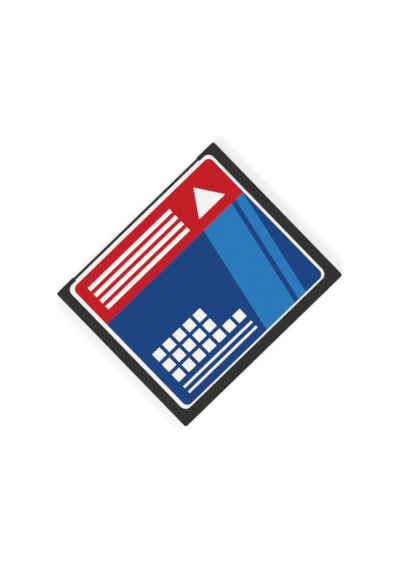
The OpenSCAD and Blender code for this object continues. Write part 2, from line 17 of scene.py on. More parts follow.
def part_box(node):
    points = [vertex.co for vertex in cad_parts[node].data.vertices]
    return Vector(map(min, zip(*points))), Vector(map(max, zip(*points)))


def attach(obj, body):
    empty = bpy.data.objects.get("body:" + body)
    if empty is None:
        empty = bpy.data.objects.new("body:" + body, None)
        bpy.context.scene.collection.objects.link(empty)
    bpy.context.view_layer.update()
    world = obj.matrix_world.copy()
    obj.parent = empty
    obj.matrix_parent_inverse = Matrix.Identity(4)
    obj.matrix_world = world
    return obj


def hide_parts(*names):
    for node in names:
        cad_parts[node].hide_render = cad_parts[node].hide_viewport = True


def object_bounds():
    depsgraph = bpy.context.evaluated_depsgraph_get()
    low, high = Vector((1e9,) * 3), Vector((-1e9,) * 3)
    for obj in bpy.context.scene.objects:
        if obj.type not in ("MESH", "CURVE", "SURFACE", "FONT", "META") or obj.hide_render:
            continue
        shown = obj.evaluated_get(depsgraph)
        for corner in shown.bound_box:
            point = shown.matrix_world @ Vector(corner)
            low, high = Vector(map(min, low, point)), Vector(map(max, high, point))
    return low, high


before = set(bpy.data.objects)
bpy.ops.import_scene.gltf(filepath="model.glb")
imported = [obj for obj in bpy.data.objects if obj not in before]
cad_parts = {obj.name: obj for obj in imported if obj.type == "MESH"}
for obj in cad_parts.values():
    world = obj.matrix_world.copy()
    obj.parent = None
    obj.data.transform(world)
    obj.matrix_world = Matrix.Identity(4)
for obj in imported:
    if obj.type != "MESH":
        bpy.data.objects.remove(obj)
cad_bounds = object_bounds()
MM = 0.001
scene = bpy.context.scene
print("card, mm:", [round(side / MM, 2) for side in cad_bounds[1] - cad_bounds[0]])

# %% [markdown]
# ## The camera
# The photograph is a product shot from straight above, with the card turned on the page. Its four edges
# are straight and opposite ones are parallel, so the lens was long. The camera hangs over the card, and
# its focal length is worked out from how many pixels a millimetre of the card's top takes up.

# %% Camera
PHOTO_HIGH = 570
PHOTO_MIDDLE = (200.0, 285.0)
CARD_MIDDLE = (199.55, 284.35)
PIXELS_PER_MM = 5.115
CARD_TURN = math.radians(44.12)
CAMERA_RISE = 600 * MM
NEAREST_SEEN = 10 * MM
FARTHEST_SEEN = 20.0

card_top = cad_bounds[1].z
view_high = PHOTO_HIGH / PIXELS_PER_MM * MM
page_right = Vector((math.cos(CARD_TURN), -math.sin(CARD_TURN), 0))
page_up = Vector((math.sin(CARD_TURN), math.cos(CARD_TURN), 0))
shift_right = (PHOTO_MIDDLE[0] - CARD_MIDDLE[0]) / PIXELS_PER_MM * MM
shift_down = (PHOTO_MIDDLE[1] - CARD_MIDDLE[1]) / PIXELS_PER_MM * MM

camera = bpy.data.objects.new("camera", bpy.data.cameras.new("camera"))
scene.collection.objects.link(camera)
camera.location = page_right * shift_right - page_up * shift_down + Vector((0, 0, card_top + CAMERA_RISE))
camera.rotation_euler = (0, 0, -CARD_TURN)
camera.data.lens = camera.data.sensor_width * CAMERA_RISE / view_high
camera.data.clip_start = NEAREST_SEEN
camera.data.clip_end = FARTHEST_SEEN
scene.camera = camera
print("focal length, mm:", round(camera.data.lens, 1))

# %% [markdown]
# ## Colours and nodes
# Colours are written as the sRGB hex values that a paint program shows. Blender's shaders want linear
# light, so one function converts them. Another adds a shader node, sets its properties and its sockets,
# and links whatever is handed over as an output of another node. All the finishes below are built from
# these two.

# %% Two small helpers


def linear(hex_colour):
    """A hex colour as the linear red, green, blue and alpha that shaders use."""
    parts = [int(hex_colour[i:i + 2], 16) / 255 for i in (1, 3, 5)]
    return [c / 12.92 if c <= 0.04045 else ((c + 0.055) / 1.055) ** 2.4 for c in parts] + [1.0]


def add_node(tree, kind, settings=None, sockets=None):
    """Adds a node, sets its properties, then sets each socket to a value or links it to an output."""
    made = tree.nodes.new(kind)
    for name, value in (settings or {}).items():
        setattr(made, name, value)
    for name, value in (sockets or {}).items():
        if isinstance(value, bpy.types.NodeSocket):
            tree.links.new(value, made.inputs[name])
        else:
            made.inputs[name].default_value = value
    return made


# %% [markdown]
# ## Light
# A colour should come out about as it is written, so the light that reaches a level surface has to add
# up to one. Part of it comes from the sky, which is white at the horizon and darker overhead. Glossy
# film seen from above mirrors the dark part and keeps its colours deep, while the sides still get a
# bright surround. The sky stays white for a few degrees above the horizon, so a low view has a plain
# white background. The rest comes from two very wide suns to the left and right. They are as soft as
# softboxes, and unlike lamps that stand near, they light the paper equally far away, so no dark band
# shows at the horizon in a low view.

# %% Sky
HORIZON = 1.0
OVERHEAD = 0.12
WHITE_UP_TO = 0.12
FALL_OFF = 4.0

world = bpy.data.worlds.new("studio_sky")
scene.world = world
world.use_nodes = True
sky = world.node_tree
background = sky.nodes["Background"]
direction = add_node(sky, "ShaderNodeTexCoord")
upward = add_node(sky, "ShaderNodeSeparateXYZ", sockets={"Vector": direction.outputs["Generated"]})
from_above = add_node(sky, "ShaderNodeMapRange", sockets={
    "Value": upward.outputs["Z"], "From Min": WHITE_UP_TO, "From Max": 1.0, "To Min": 1.0, "To Max": 0.0})
curve = add_node(sky, "ShaderNodeMath", {"operation": "POWER"},
                 {0: from_above.outputs["Result"], 1: FALL_OFF})
dimming = add_node(sky, "ShaderNodeMapRange", sockets={
    "Value": curve.outputs["Value"], "From Min": 0.0, "From Max": 1.0,
    "To Min": OVERHEAD, "To Max": HORIZON})
background.inputs["Color"].default_value = (1, 1, 1, 1)
sky.links.new(dimming.outputs["Result"], background.inputs["Strength"])

# %% Soft suns
SUN_HEIGHT = math.radians(42)
SUN_WIDTH = math.radians(50)
SUN_STRENGTH = 2.05

for name, bearing, share in (("left_soft_sun", 200, 1.0), ("right_soft_sun", 20, 0.85)):
    soft_sun = bpy.data.lights.new(name, "SUN")
    soft_sun.angle = SUN_WIDTH
    soft_sun.energy = SUN_STRENGTH * share
    lamp = bpy.data.objects.new(name, soft_sun)
    scene.collection.objects.link(lamp)
    around = math.radians(bearing)
    level = math.cos(SUN_HEIGHT)
    towards = Vector((math.cos(around) * level, math.sin(around) * level, math.sin(SUN_HEIGHT)))
    lamp.rotation_euler = towards.to_track_quat("Z", "Y").to_euler()

# %% [markdown]
# ## Floor
# The card lies on a plain pale sheet of paper. A wide plane stands for it. Its colour is a light grey,
# and rays from the camera and from glossy surfaces see it brighter, so the page looks white, as the
# photograph's does, while the darkest part of the card's soft shadow stays on it.

# %% Paper floor
FLOOR_HALF = 6.0
PAPER_GLOW = 0.47

corners = [(-FLOOR_HALF, -FLOOR_HALF, 0), (FLOOR_HALF, -FLOOR_HALF, 0), (FLOOR_HALF, FLOOR_HALF, 0),
           (-FLOOR_HALF, FLOOR_HALF, 0)]
floor_mesh = bpy.data.meshes.new("paper_floor")
floor_mesh.from_pydata(corners, [], [(0, 1, 2, 3)])
floor = bpy.data.objects.new("paper_floor", floor_mesh)
scene.collection.objects.link(floor)

paper = bpy.data.materials.new("matt_white_paper")
paper.use_nodes = True
tree = paper.node_tree
shader = tree.nodes["Principled BSDF"]
shader.inputs["Base Color"].default_value = linear("#dfdfde")
shader.inputs["Roughness"].default_value = 0.9
shader.inputs["Specular IOR Level"].default_value = 0.1
shader.inputs["Emission Color"].default_value = (1, 1, 1, 1)
ray = add_node(tree, "ShaderNodeLightPath")
seen = add_node(tree, "ShaderNodeMath", {"operation": "MAXIMUM"},
                {0: ray.outputs["Is Camera Ray"], 1: ray.outputs["Is Glossy Ray"]})
seen = add_node(tree, "ShaderNodeMath", {"operation": "MAXIMUM"},
                {0: seen.outputs["Value"], 1: ray.outputs["Is Transmission Ray"]})
glow = add_node(tree, "ShaderNodeMath", {"operation": "MULTIPLY"},
                {0: seen.outputs["Value"], 1: PAPER_GLOW})
tree.links.new(glow.outputs["Value"], shader.inputs["Emission Strength"])
floor_mesh.materials.append(paper)

# %% [markdown]
# ## How a finish starts
# Every finish has a shader with fixed values, such as the index of refraction of that plastic or the
# roughness of that metal, and one or more patterns that vary its colour, roughness and relief. The
# patterns are placed by the object's own coordinates in metres. A pattern node's scale counts cells in
# a metre, so pattern_scale turns the real size of a grain or a thread into it. Most heights of a noise
# lie between 0.3 and 0.7, so the roughness spreads over that part.

# %% Start of a finish
NOISE_LOW, NOISE_HIGH = 0.3, 0.7


def pattern_scale(size_mm):
    """The scale of a noise or cell pattern whose grains are size_mm across."""
    return 1000.0 / size_mm


def start_finish(name, roughness, ior=None, metallic=0.0, **sockets):
    """A new material: returns it, its node tree, its shader and the place of each point, in metres."""
    made = bpy.data.materials.new(name)
    made.use_nodes = True
    tree = made.node_tree
    shader = tree.nodes["Principled BSDF"]
    shader.inputs["Roughness"].default_value = roughness
    shader.inputs["Metallic"].default_value = metallic
    if ior:
        shader.inputs["IOR"].default_value = ior
    for socket, value in sockets.items():
        shader.inputs[socket.replace("_", " ")].default_value = value
    place = add_node(tree, "ShaderNodeTexCoord").outputs["Object"]
    return made, tree, shader, place


def vary_colour(tree, shader, factor, first, second):
    """The base colour goes from the first hex colour to the second as factor goes from 0 to 1."""
    mixed = add_node(tree, "ShaderNodeMix", {"data_type": "RGBA"},
                     {0: factor, 6: linear(first), 7: linear(second)})
    tree.links.new(mixed.outputs[2], shader.inputs["Base Color"])


def vary_roughness(tree, shader, height, low, high):
    """The roughness goes from low to high with a pattern's height."""
    spread = add_node(tree, "ShaderNodeMapRange", sockets={
        "Value": height, "From Min": NOISE_LOW, "From Max": NOISE_HIGH, "To Min": low, "To Max": high})
    tree.links.new(spread.outputs["Result"], shader.inputs["Roughness"])


def raise_relief(tree, shader, height, depth_mm, under=None):
    """Bump from a pattern's height. A second pattern can lie under the first."""
    relief = add_node(tree, "ShaderNodeBump", sockets={
        "Strength": 1.0, "Distance": depth_mm * MM, "Height": height})
    if under:
        tree.links.new(under.outputs["Normal"], relief.inputs["Normal"])
    tree.links.new(relief.outputs["Normal"], shader.inputs["Normal"])
    return relief


# %% [markdown]
# ## Moulded plastics
# The ring and the socket block are injection moulded in black plastic, the ring in a filled polyester
# and the block in liquid crystal polymer. The mould's walls were spark-eroded, which leaves an even
# matt grain of about a tenth of a millimetre. That gives the eye a soft grey sheen instead of a mirror.
# The grain is drawn at two or three times its size so that it shows. A broad, faint cloudiness stands
# for how the filler lies in the plastic. A lightly handled edge is smoother and a little paler, so the
# rounded edges get a finish of their own.

# %% Moulded plastic finishes
FILLER_CLOUD = 5.0
GRAIN_SHARE = 0.45


def moulded_plastic(name, dark, light, grain_mm, depth_mm, smooth, rough, ior):
    """A black moulded plastic with an eroded grain and wide clouds of filler."""
    made, tree, shader, place = start_finish(name, rough, ior)
    grain = add_node(tree, "ShaderNodeTexNoise", sockets={
        "Vector": place, "Scale": pattern_scale(grain_mm), "Detail": 3.0, "Roughness": 0.6})
    cloud = add_node(tree, "ShaderNodeTexNoise", sockets={
        "Vector": place, "Scale": pattern_scale(FILLER_CLOUD), "Detail": 2.0, "Distortion": 0.6})
    both = add_node(tree, "ShaderNodeMix", {"data_type": "FLOAT"},
                    {0: GRAIN_SHARE, 2: cloud.outputs["Fac"], 3: grain.outputs["Fac"]})
    vary_colour(tree, shader, both.outputs[0], dark, light)
    vary_roughness(tree, shader, both.outputs[0], smooth, rough)
    raise_relief(tree, shader, grain.outputs["Fac"], depth_mm)
    return made


ring_plastic = moulded_plastic("black_polyester_spark_eroded", "#0a0a0a", "#181716",
                               grain_mm=0.30, depth_mm=0.030, smooth=0.46, rough=0.60, ior=1.48)
ring_edge = moulded_plastic("black_polyester_rubbed_edge", "#151413", "#242322",
                            grain_mm=0.40, depth_mm=0.006, smooth=0.34, rough=0.46, ior=1.5)
block_plastic = moulded_plastic("black_crystal_polymer_moulded", "#0f0f0f", "#1b1a19",
                                grain_mm=0.24, depth_mm=0.012, smooth=0.42, rough=0.58, ior=1.55)
block_edge = moulded_plastic("black_crystal_polymer_edge", "#161515", "#232222",
                             grain_mm=0.30, depth_mm=0.004, smooth=0.32, rough=0.44, ior=1.55)

# %% [markdown]
# ## The moulded ring
# The ring's shape is right in the frame, but each of its edges is a perfect corner, and no moulding has
# one. A copy of its mesh gets its doubled points merged and its flat faces joined again, and a Bevel
# modifier rounds every edge by a few hundredths of a millimetre. The rounded strips take the rubbed
# finish. The same way does for the socket block, the steel sheets, the contacts and the chips, so it is
# a function. Chips also have a small round dimple beside their first lead: a flat face is opened, and
# filled again round the dimple's rim.

# %% Dimples
DIMPLE_RADIUS = 0.5
DIMPLE_DEPTH = 0.08
DIMPLE_POINTS = 24
LEVEL_FROM = 0.99


def circle(x, y, radius, z, sides):
    """Points round a level circle, counter-clockwise."""
    turns = [2 * math.pi * i / sides for i in range(sides)]
    return [(x + radius * math.cos(turn), y + radius * math.sin(turn), z) for turn in turns]


def sink_dimple(work, place, up):
    """Sinks a round, flat-bottomed dimple into the widest face that looks up (1) or down (-1)."""
    face = max((f for f in work.faces if f.normal.z * up > LEVEL_FROM), key=lambda f: f.calc_area())
    z = face.verts[0].co.z
    border = list(face.edges)
    bmesh.ops.delete(work, geom=[face], context="FACES_ONLY")
    rim, floor_ring = ([work.verts.new(p) for p in circle(*place, DIMPLE_RADIUS * MM, z - up * depth,
                                                          DIMPLE_POINTS)]
                       for depth in (0, DIMPLE_DEPTH * MM))
    for i in range(DIMPLE_POINTS):
        after = (i + 1) % DIMPLE_POINTS
        work.faces.new((rim[i], rim[after], floor_ring[after], floor_ring[i]))
    work.faces.new(floor_ring)
    rim_edges = [work.edges.get((rim[i], rim[(i + 1) % DIMPLE_POINTS])) for i in range(DIMPLE_POINTS)]
    bmesh.ops.triangle_fill(work, use_beauty=True, edges=border + rim_edges)
    bmesh.ops.recalc_face_normals(work, faces=work.faces)


# %% Softened copies
MERGE_WITHIN = 0.0005 * MM
FLAT_WITHIN = math.radians(0.4)
SHARP_FROM = math.radians(25)


def softened_copy(node, name, radius_mm, steps, face_finish, edge_finish, dimple=None):
    """A copy of a CAD node with every edge rounded. It stands for the node."""
    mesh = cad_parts[node].data.copy()
    mesh.name = name
    mesh.materials.clear()
    mesh.materials.append(face_finish)
    mesh.materials.append(edge_finish)
    work = bmesh.new()
    work.from_mesh(mesh)
    bmesh.ops.remove_doubles(work, verts=work.verts, dist=MERGE_WITHIN)
    bmesh.ops.dissolve_limit(work, angle_limit=FLAT_WITHIN, verts=work.verts, edges=work.edges,
                             use_dissolve_boundaries=False)
    if dimple:
        sink_dimple(work, *dimple)
    for face in work.faces:
        face.material_index = 0
        face.smooth = True
    work.to_mesh(mesh)
    work.free()
    if "custom_normal" in mesh.attributes:
        mesh.attributes.remove(mesh.attributes["custom_normal"])
    piece = bpy.data.objects.new(name, mesh)
    scene.collection.objects.link(piece)
    rounding = piece.modifiers.new("rounding", "BEVEL")
    rounding.width = radius_mm * MM
    rounding.segments = steps
    rounding.limit_method = "ANGLE"
    rounding.angle_limit = SHARP_FROM
    rounding.material = 1
    rounding.harden_normals = True
    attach(piece, "root")
    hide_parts(node)
    shown = piece.evaluated_get(bpy.context.evaluated_depsgraph_get()).to_mesh()
    print(name, "faces:", len(shown.polygons))


softened_copy("frame", "moulded_ring", radius_mm=0.035, steps=2,
              face_finish=ring_plastic, edge_finish=ring_edge)
softened_copy("connector_housing", "socket_block", radius_mm=0.02, steps=2,
              face_finish=block_plastic, edge_finish=block_edge)

# %% [markdown]
# ## Steel sheets
# Both covers are stamped from bright cold-rolled stainless strip, a seventh of a millimetre thick.
# Rolling leaves fine lines along the strip, so the relief is noise that is stretched far along X. The
# metal is nearly neutral, a little warm. The edges are sheared, and duller. The bevel takes their burr
# off.

# %% Worked metal finishes
METAL_CLOUD = 7.0
LINE_SHARE = 0.6


def worked_metal(name, dark, light, smooth, rough, line_mm, stretch, depth_mm, along="X"):
    """A metal whose tool marks run along one axis: line_mm wide, and stretch times as long."""
    made, tree, shader, place = start_finish(name, rough, metallic=1.0)
    squeeze = tuple(1 / stretch if axis == along else 1.0 for axis in "XYZ")
    drawn = add_node(tree, "ShaderNodeMapping", sockets={"Vector": place, "Scale": squeeze})
    lines = add_node(tree, "ShaderNodeTexNoise", sockets={
        "Vector": drawn.outputs["Vector"], "Scale": pattern_scale(line_mm),
        "Detail": 4.0, "Roughness": 0.65})
    cloud = add_node(tree, "ShaderNodeTexNoise", sockets={
        "Vector": place, "Scale": pattern_scale(METAL_CLOUD), "Detail": 2.0})
    both = add_node(tree, "ShaderNodeMix", {"data_type": "FLOAT"},
                    {0: LINE_SHARE, 2: cloud.outputs["Fac"], 3: lines.outputs["Fac"]})
    vary_colour(tree, shader, both.outputs[0], dark, light)
    vary_roughness(tree, shader, both.outputs[0], smooth, rough)
    raise_relief(tree, shader, lines.outputs["Fac"], depth_mm)
    return made


rolled_steel = worked_metal("stainless_steel_cold_rolled", "#b3b1ad", "#c9c7c3", smooth=0.22, rough=0.34,
                            line_mm=0.10, stretch=120, depth_mm=0.0004)
sheared_steel = worked_metal("stainless_steel_sheared_edge", "#a3a19d", "#bcbab6", smooth=0.32, rough=0.5,
                             line_mm=0.08, stretch=6, depth_mm=0.001)

# %% Sheets
for side in ("bottom", "top"):
    softened_copy(side + "_cover", side + "_steel_sheet", radius_mm=0.03, steps=2,
                  face_finish=rolled_steel, edge_finish=sheared_steel)

# %% [markdown]
# ## Printed label
# A white polyester film is printed in solid inks, laminated with a clear gloss film, die-cut and stuck
# to the upper sheet. It is one sheet, so it is one mesh. The outlines of all the print are laid into
# its top face as cut lines by a Delaunay triangulation, and each triangle takes the ink of the region
# that it lies in. The colours then have knife-sharp edges at any distance, as a litho print has. The
# die rounds the upper edge. The print is plain: a red band, a dark blue field with two leaning light
# blue stripes, ruled lines, a pointer towards the sockets, and cells in rows that stand for the memory.

# %% Printed inks
PEEL_SIZE, PEEL_DEPTH = 1.6, 0.004
SCUFF_WIDTH, SCUFF_STRETCH, SCUFF_DEPTH = 0.15, 60, 0.0008


def laminated_print(name, dark, light, spot_mm):
    """Ink or bare film under gloss laminate: even colour, faint mottle, orange peel and hairline scuffs."""
    made, tree, shader, place = start_finish(
        name, 0.5, 1.5, Coat_Weight=1.0, Coat_Roughness=0.07, Coat_IOR=1.49, Specular_IOR_Level=0.0)
    mottle = add_node(tree, "ShaderNodeTexNoise", sockets={
        "Vector": place, "Scale": pattern_scale(spot_mm), "Detail": 3.0, "Roughness": 0.7})
    vary_colour(tree, shader, mottle.outputs["Fac"], dark, light)
    vary_roughness(tree, shader, mottle.outputs["Fac"], 0.42, 0.55)
    peel = add_node(tree, "ShaderNodeTexNoise", sockets={
        "Vector": place, "Scale": pattern_scale(PEEL_SIZE), "Detail": 1.0})
    peeled = raise_relief(tree, shader, peel.outputs["Fac"], PEEL_DEPTH)
    drawn = add_node(tree, "ShaderNodeMapping", sockets={
        "Vector": place, "Scale": (1.0, 1 / SCUFF_STRETCH, 1.0)})
    scuffs = add_node(tree, "ShaderNodeTexNoise", sockets={
        "Vector": drawn.outputs["Vector"], "Scale": pattern_scale(SCUFF_WIDTH), "Detail": 2.0})
    scuffed = raise_relief(tree, shader, scuffs.outputs["Fac"], SCUFF_DEPTH, under=peeled)
    tree.links.new(scuffed.outputs["Normal"], shader.inputs["Coat Normal"])
    return made


INKS = {
    "film": laminated_print("white_polyester_film_laminated", "#eeeff1", "#f6f7f8", spot_mm=0.7),
    "red": laminated_print("red_litho_ink_laminated", "#bf1622", "#c81a27", spot_mm=0.5),
    "light blue": laminated_print("light_blue_litho_ink_laminated", "#2376b8", "#2b7cbe", spot_mm=0.5),
    "dark blue": laminated_print("dark_blue_litho_ink_laminated", "#143f7c", "#194686", spot_mm=0.5),
    "white": laminated_print("white_litho_ink_laminated", "#f0f0ee", "#f8f8f6", spot_mm=0.5),
}

# %% [markdown]
# The print's measures come from the photograph, in millimetres from the card's middle. They are held
# against the label's own box in the frame, so that the print stays in its margin.

# %% Print layout
label_low, label_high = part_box("front_label")
PRINT_MARGIN = {"left": 0.80, "right": 0.55, "rear": 0.36, "front": 0.80}
PRINT_RADIUS = 1.2
BAND_REAR = 7.0
STRIPES = ((3.2, 7.7), (11.9, 2.0))
STRIPE_LEAN = 4.7
MARK_LEFT = -16.2
RULE_SIZE = (22.2, 0.85)
RULE_FIRST, RULE_PITCH, RULE_COUNT = 8.88, 1.65, 4
POINTER_MIDDLE, POINTER_REAR, POINTER_SIZE = 12.325, 9.18, (7.0, 5.2)
CELL_SIZE, CELL_PITCH, CELL_REAR = 2.0, 2.75, -10.88
CELLS_IN_ROWS = (7, 5, 5)
LINE_SIZE = (18.5, 0.5)
LINE_FIRST, LINE_PITCH, LINE_COUNT = -13.93, 1.35, 2

print_box = (label_low.x / MM + PRINT_MARGIN["left"], label_low.y / MM + PRINT_MARGIN["rear"],
             label_high.x / MM - PRINT_MARGIN["right"], label_high.y / MM - PRINT_MARGIN["front"])
print("print box, mm:", [round(side, 2) for side in print_box])

# %% Outlines of the label and its print
CORNER_STEPS = 10


def rounded_outline(x0, y0, x1, y1, radius):
    """Points round a rectangle with rounded corners, counter-clockwise, in the units given."""
    points = []
    for quarter, (x, y) in enumerate(((x1 - radius, y1 - radius), (x0 + radius, y1 - radius),
                                      (x0 + radius, y0 + radius), (x1 - radius, y0 + radius))):
        for step in range(CORNER_STEPS + 1):
            turn = (quarter + step / CORNER_STEPS) * math.pi / 2
            points.append((x + radius * math.cos(turn), y + radius * math.sin(turn)))
    return points


def box_outline(x, y, wide, high):
    """The four corners of a rectangle from its lower left one."""
    return [(x, y), (x + wide, y), (x + wide, y + high), (x, y + high)]


marks = [box_outline(MARK_LEFT, RULE_FIRST + RULE_PITCH * i, *RULE_SIZE) for i in range(RULE_COUNT)]
marks += [box_outline(MARK_LEFT, LINE_FIRST + LINE_PITCH * i, *LINE_SIZE) for i in range(LINE_COUNT)]
marks += [box_outline(MARK_LEFT + CELL_PITCH * i, CELL_REAR + CELL_PITCH * row, CELL_SIZE, CELL_SIZE)
          for row, count in enumerate(CELLS_IN_ROWS) for i in range(count)]
marks.append([(POINTER_MIDDLE - POINTER_SIZE[0] / 2, POINTER_REAR),
              (POINTER_MIDDLE + POINTER_SIZE[0] / 2, POINTER_REAR),
              (POINTER_MIDDLE, POINTER_REAR + POINTER_SIZE[1])])
stripes = [[(x, print_box[1]), (x + wide, print_box[1]),
            (x + wide + STRIPE_LEAN, BAND_REAR), (x + STRIPE_LEAN, BAND_REAR)] for x, wide in STRIPES]
print("white marks:", len(marks), "stripes:", len(stripes))

# %% Which ink a point takes


def inside(point, outline):
    """True where the point lies inside a convex, counter-clockwise outline."""
    ends = outline[1:] + outline[:1]
    return all((bx - ax) * (point[1] - ay) - (by - ay) * (point[0] - ax) >= 0
               for (ax, ay), (bx, by) in zip(outline, ends))


print_outline = rounded_outline(*print_box, PRINT_RADIUS)


def ink_at(point):
    """The name of the ink at a point of the label, in millimetres."""
    if not inside(point, print_outline):
        return "film"
    if any(inside(point, mark) for mark in marks):
        return "white"
    if point[1] > BAND_REAR:
        return "red"
    return "light blue" if any(inside(point, stripe) for stripe in stripes) else "dark blue"


# %% [markdown]
# The label's outline is that of the steel sheet under it: a rectangle with rounded corners, and a
# shallow tab that reaches a little further forward between the corner blocks. The film's side is a wall
# that turns over into the top in a few short steps. The rings of points are made from the outside in,
# and the last ring is the border of the triangulated top.

# %% The label's edge
EDGE_ROLL = 0.035
ROLL_STEPS = 3
LABEL_RADIUS = 1.35
TAB_REACH = 0.18
TAB_HALF = 16.75


def label_outline(inset):
    """The label's edge, moved in by inset."""
    x0, y0, x1, y1 = (side / MM for side in (label_low.x, label_low.y, label_high.x, label_high.y))
    shoulder = y1 - TAB_REACH - inset
    tab, front = TAB_HALF - inset, y1 - inset
    edge = rounded_outline(x0 + inset, y0 + inset, x1 - inset, shoulder, LABEL_RADIUS - inset)
    turn = CORNER_STEPS + 1
    return edge[:turn] + [(tab, shoulder), (tab, front), (-tab, front), (-tab, shoulder)] + edge[turn:]


rings = [(0.0, label_low.z / MM)]
for step in range(ROLL_STEPS + 1):
    turn = step / ROLL_STEPS * math.pi / 2
    rings.append((EDGE_ROLL * (1 - math.cos(turn)), label_high.z / MM - EDGE_ROLL * (1 - math.sin(turn))))
points, faces = [], []
for inset, rise in rings:
    top_ring = label_outline(inset)
    points += [(x * MM, y * MM, rise * MM) for x, y in top_ring]
around = len(top_ring)
for level in range(len(rings) - 1):
    for i in range(around):
        a, b = level * around + i, level * around + (i + 1) % around
        faces.append((a, b, b + around, a + around))
side_faces = len(faces)
faces.append(tuple(range(around - 1, -1, -1)))
inks = ["film"] * len(faces)

# %% The label's printed top
TRIANGLES_INSIDE = 1
CUT_TOLERANCE = 1e-5

flat_points, flat_edges = [], []
for outline in [top_ring, print_outline] + stripes + marks:
    first = len(flat_points)
    flat_points += [Vector(p) for p in outline]
    flat_edges += [(first + i, first + (i + 1) % len(outline)) for i in range(len(outline))]
flat_edges.append((len(flat_points), len(flat_points) + 1))
flat_points += [Vector((print_box[0], BAND_REAR)), Vector((print_box[2], BAND_REAR))]
cut_points, _, cut_faces, *_ = delaunay_2d_cdt(flat_points, flat_edges, [], TRIANGLES_INSIDE,
                                               CUT_TOLERANCE)
first = len(points)
points += [(p.x * MM, p.y * MM, label_high.z) for p in cut_points]
for face in cut_faces:
    middle = sum((cut_points[i] for i in face), Vector((0, 0))) / len(face)
    faces.append(tuple(first + i for i in face))
    inks.append(ink_at(middle))

# %% The label
label_mesh = bpy.data.meshes.new("printed_label")
label_mesh.from_pydata(points, [], faces)
for finish in INKS.values():
    label_mesh.materials.append(finish)
for face, ink in zip(label_mesh.polygons, inks):
    face.material_index = list(INKS).index(ink)
    face.use_smooth = face.index < side_faces
label_work = bmesh.new()
label_work.from_mesh(label_mesh)
bmesh.ops.remove_doubles(label_work, verts=label_work.verts, dist=MERGE_WITHIN)
label_work.to_mesh(label_mesh)
label_work.free()
printed_label = bpy.data.objects.new("printed_label", label_mesh)
scene.collection.objects.link(printed_label)
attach(printed_label, "root")
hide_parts("front_label")
print("label faces:", len(label_mesh.polygons), "by ink:", {ink: inks.count(ink) for ink in INKS})

# %% [markdown]
# ## Finishes inside
# Most of the solids inside keep their shape and only get their finish. A helper puts one finish in
# every slot of a node. They are shut in, but the contacts can be seen through the sockets' mouths.

# %% Dressing a node


def dress(finish, *nodes):
    """Puts a finish on frame nodes that keep their shape."""
    for node in nodes:
        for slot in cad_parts[node].material_slots:
            slot.material = finish
    print(finish.name, "on", ", ".join(nodes))


# %% [markdown]
# ### Contacts
# The contacts are stamped from phosphor bronze strip. Their fronts are plated with gold over nickel,
# which gives a deep, warm shine, and their tails with matt tin for the solder. One finish does both:
# the place along Y says where the gold ends. Stamping and plating leave fine lines along the contact.

# %% Plated contacts
GOLD_ENDS = 13.4
GOLD_FADE = 0.15
STAMP_LINE, STAMP_STRETCH = 0.08, 20

plated_contact, tree, shader, place = start_finish("bronze_strip_gold_and_tin_plated", 0.26, metallic=1.0)
along_y = add_node(tree, "ShaderNodeSeparateXYZ", sockets={"Vector": place})
gold_share = add_node(tree, "ShaderNodeMapRange", sockets={
    "Value": along_y.outputs["Y"], "To Min": 0.0, "To Max": 1.0,
    "From Min": (GOLD_ENDS - GOLD_FADE) * MM, "From Max": (GOLD_ENDS + GOLD_FADE) * MM})
drawn = add_node(tree, "ShaderNodeMapping", sockets={
    "Vector": place, "Scale": (1.0, 1 / STAMP_STRETCH, 1.0)})
lines = add_node(tree, "ShaderNodeTexNoise", sockets={
    "Vector": drawn.outputs["Vector"], "Scale": pattern_scale(STAMP_LINE), "Detail": 3.0})
gold = add_node(tree, "ShaderNodeMix", {"data_type": "RGBA"},
                {0: lines.outputs["Fac"], 6: linear("#ecc06a"), 7: linear("#f4ce7e")})
tin = add_node(tree, "ShaderNodeMix", {"data_type": "RGBA"},
               {0: lines.outputs["Fac"], 6: linear("#b4b4b2"), 7: linear("#cbcbc9")})
plating = add_node(tree, "ShaderNodeMix", {"data_type": "RGBA"},
                   {0: gold_share.outputs["Result"], 6: tin.outputs[2], 7: gold.outputs[2]})
tree.links.new(plating.outputs[2], shader.inputs["Base Color"])
vary_roughness(tree, shader, lines.outputs["Fac"], low=0.2, high=0.3)
raise_relief(tree, shader, lines.outputs["Fac"], depth_mm=0.0004)
for row in ("upper", "lower"):
    softened_copy(row + "_contacts", row + "_spring_contacts", radius_mm=0.012, steps=1,
                  face_finish=plated_contact, edge_finish=plated_contact)

# %% [markdown]
# ### Board
# The board is glass cloth and epoxy, with green solder mask on both faces. The weave of the cloth shows
# through the mask as a faint mesh. The routed edge has no mask and shows the yellowish laminate, so the
# surface's direction picks the colour. A wave pattern at scale 1 has a period of a tenth of pi, which
# its scale allows for.

# %% Masked board
THREAD_PITCH = 0.4
WAVE_PERIOD = math.pi / 10
CLOTH_GRAIN = 0.3

board_finish, tree, shader, place = start_finish(
    "glass_epoxy_board_solder_masked", 0.4, 1.52, Coat_Weight=0.4, Coat_Roughness=0.2)
threads = [add_node(tree, "ShaderNodeTexWave", {"bands_direction": axis}, {
    "Vector": place, "Scale": WAVE_PERIOD * pattern_scale(THREAD_PITCH), "Distortion": 0.6, "Detail": 1.0})
    for axis in "XY"]
weave = add_node(tree, "ShaderNodeMath", {"operation": "MAXIMUM"},
                 {0: threads[0].outputs["Fac"], 1: threads[1].outputs["Fac"]})
masked = add_node(tree, "ShaderNodeMix", {"data_type": "RGBA"},
                  {0: weave.outputs["Value"], 6: linear("#135a3a"), 7: linear("#176342")})
facing = add_node(tree, "ShaderNodeNewGeometry")
upright = add_node(tree, "ShaderNodeSeparateXYZ", sockets={"Vector": facing.outputs["Normal"]})
level = add_node(tree, "ShaderNodeMath", {"operation": "ABSOLUTE"}, {0: upright.outputs["Z"]})
